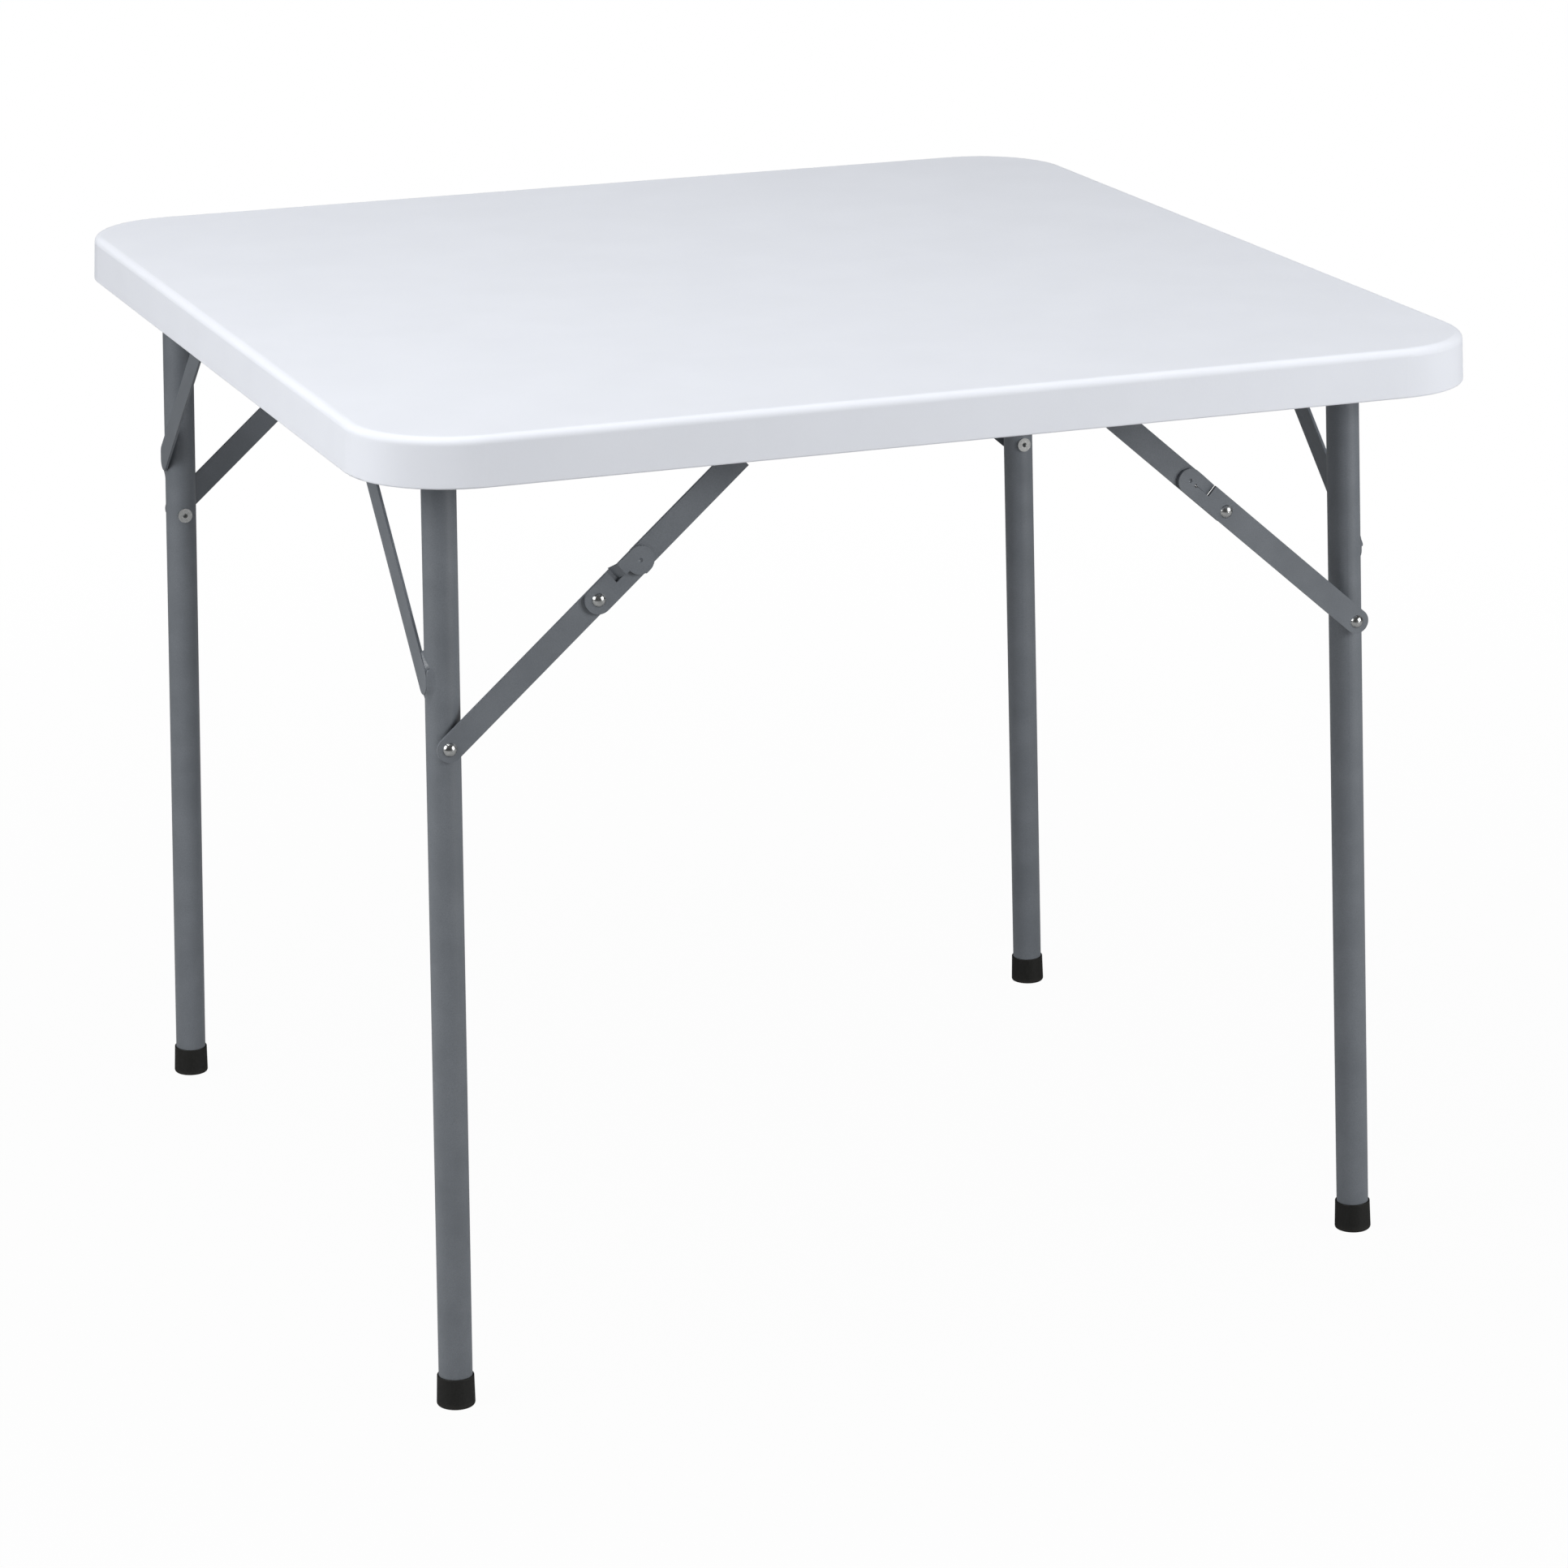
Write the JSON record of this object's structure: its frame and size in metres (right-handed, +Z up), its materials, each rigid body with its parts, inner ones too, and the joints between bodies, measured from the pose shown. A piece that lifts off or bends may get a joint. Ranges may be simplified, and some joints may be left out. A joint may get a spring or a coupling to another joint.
{
  "type": "folding card table",
  "caption": "Square folding card table with a moulded plastic top, tube leg frames that fold flat beneath it and two-link locking braces.",
  "frame": {"origin": "on the floor under the middle of the table top", "axes": "+X from the left leg frame to the right one, +Y from front to rear, +Z up"},
  "size_m": [0.8638, 0.8638, 0.737],
  "materials": {
    "top_plastic": "satin",
    "frame_steel": "satin",
    "bright_steel": "bright zinc",
    "foot_plastic": "matte",
    "bush_plastic": "satin"
  },
  "bodies": {
    "tabletop": {"table_top": "top_plastic", "bracket_screws": "bright_steel", "top_rivets": "bright_steel", "pivot_bushes": "bush_plastic", "left_front_bracket": "frame_steel", "left_rear_bracket": "frame_steel", "right_front_bracket": "frame_steel", "right_rear_bracket": "frame_steel"},
    "left_frame": {"left_cross_tube": "frame_steel", "left_pivot_studs": "bright_steel", "left_push_caps": "bright_steel", "left_leg_rivets": "bright_steel", "left_front_leg": "frame_steel", "left_front_diagonal_strap": "frame_steel", "left_front_foot_cap": "foot_plastic", "left_rear_leg": "frame_steel", "left_rear_diagonal_strap": "frame_steel", "left_rear_foot_cap": "foot_plastic"},
    "left_front_upper_brace": {"left_front_upper_link": "frame_steel"},
    "left_front_lower_brace": {"left_front_lower_link": "frame_steel", "left_front_middle_rivet": "bright_steel", "left_front_link_rivet": "bright_steel"},
    "left_rear_upper_brace": {"left_rear_upper_link": "frame_steel"},
    "left_rear_lower_brace": {"left_rear_lower_link": "frame_steel", "left_rear_middle_rivet": "bright_steel", "left_rear_link_rivet": "bright_steel"},
    "right_frame": {"right_cross_tube": "frame_steel", "right_pivot_studs": "bright_steel", "right_push_caps": "bright_steel", "right_leg_rivets": "bright_steel", "right_front_leg": "frame_steel", "right_front_diagonal_strap": "frame_steel", "right_front_foot_cap": "foot_plastic", "right_rear_leg": "frame_steel", "right_rear_diagonal_strap": "frame_steel", "right_rear_foot_cap": "foot_plastic"},
    "right_front_upper_brace": {"right_front_upper_link": "frame_steel"},
    "right_front_lower_brace": {"right_front_lower_link": "frame_steel", "right_front_middle_rivet": "bright_steel", "right_front_link_rivet": "bright_steel"},
    "right_rear_upper_brace": {"right_rear_upper_link": "frame_steel"},
    "right_rear_lower_brace": {"right_rear_lower_link": "frame_steel", "right_rear_middle_rivet": "bright_steel", "right_rear_link_rivet": "bright_steel"}
  },
  "joints": [
    {"name": "left_frame_fold", "type": "hinge", "parent": "tabletop", "child": "left_frame", "pos_m": [-0.3646, 0, 0.7127], "axis": [0, -1, 0], "range_deg": [0, 90.95]},
    {"name": "left_front_upper_brace_fold", "type": "hinge", "parent": "tabletop", "child": "left_front_upper_brace", "pos_m": [-0.12186, -0.374, 0.7167], "axis": [0, 1, 0], "range_deg": [0, 41.34]},
    {"name": "left_front_lower_brace_fold", "type": "hinge", "parent": "left_front_upper_brace", "child": "left_front_lower_brace", "pos_m": [-0.25626, -0.374, 0.59847], "axis": [0, -1, 0], "range_deg": [0, 178.46]},
    {"name": "left_rear_upper_brace_fold", "type": "hinge", "parent": "tabletop", "child": "left_rear_upper_brace", "pos_m": [-0.12186, 0.374, 0.7167], "axis": [0, 1, 0], "range_deg": [0, 41.34]},
    {"name": "left_rear_lower_brace_fold", "type": "hinge", "parent": "left_rear_upper_brace", "child": "left_rear_lower_brace", "pos_m": [-0.25626, 0.374, 0.59847], "axis": [0, -1, 0], "range_deg": [0, 178.46]},
    {"name": "right_frame_fold", "type": "hinge", "parent": "tabletop", "child": "right_frame", "pos_m": [0.3646, 0, 0.7142], "axis": [0, 1, 0], "range_deg": [0, 92]},
    {"name": "right_front_upper_brace_fold", "type": "hinge", "parent": "tabletop", "child": "right_front_upper_brace", "pos_m": [0.12386, -0.3226, 0.7182], "axis": [0, -1, 0], "range_deg": [0, 40.85]},
    {"name": "right_front_lower_brace_fold", "type": "hinge", "parent": "right_front_upper_brace", "child": "right_front_lower_brace", "pos_m": [0.25925, -0.3226, 0.60111], "axis": [0, 1, 0], "range_deg": [0, 178.46]},
    {"name": "right_rear_upper_brace_fold", "type": "hinge", "parent": "tabletop", "child": "right_rear_upper_brace", "pos_m": [0.12386, 0.3226, 0.7182], "axis": [0, -1, 0], "range_deg": [0, 40.85]},
    {"name": "right_rear_lower_brace_fold", "type": "hinge", "parent": "right_rear_upper_brace", "child": "right_rear_lower_brace", "pos_m": [0.25925, 0.3226, 0.60111], "axis": [0, 1, 0], "range_deg": [0, 178.46]}
  ],
  "couplings": [
    {"joint": "left_front_upper_brace_fold", "follows": "left_frame_fold", "ratio": 0.45454},
    {"joint": "left_front_lower_brace_fold", "follows": "left_frame_fold", "ratio": 1.9622},
    {"joint": "left_rear_upper_brace_fold", "follows": "left_frame_fold", "ratio": 0.45454},
    {"joint": "left_rear_lower_brace_fold", "follows": "left_frame_fold", "ratio": 1.9622},
    {"joint": "right_front_upper_brace_fold", "follows": "right_frame_fold", "ratio": 0.44407},
    {"joint": "right_front_lower_brace_fold", "follows": "right_frame_fold", "ratio": 1.9398},
    {"joint": "right_rear_upper_brace_fold", "follows": "right_frame_fold", "ratio": 0.44407},
    {"joint": "right_rear_lower_brace_fold", "follows": "right_frame_fold", "ratio": 1.9398}
  ]
}
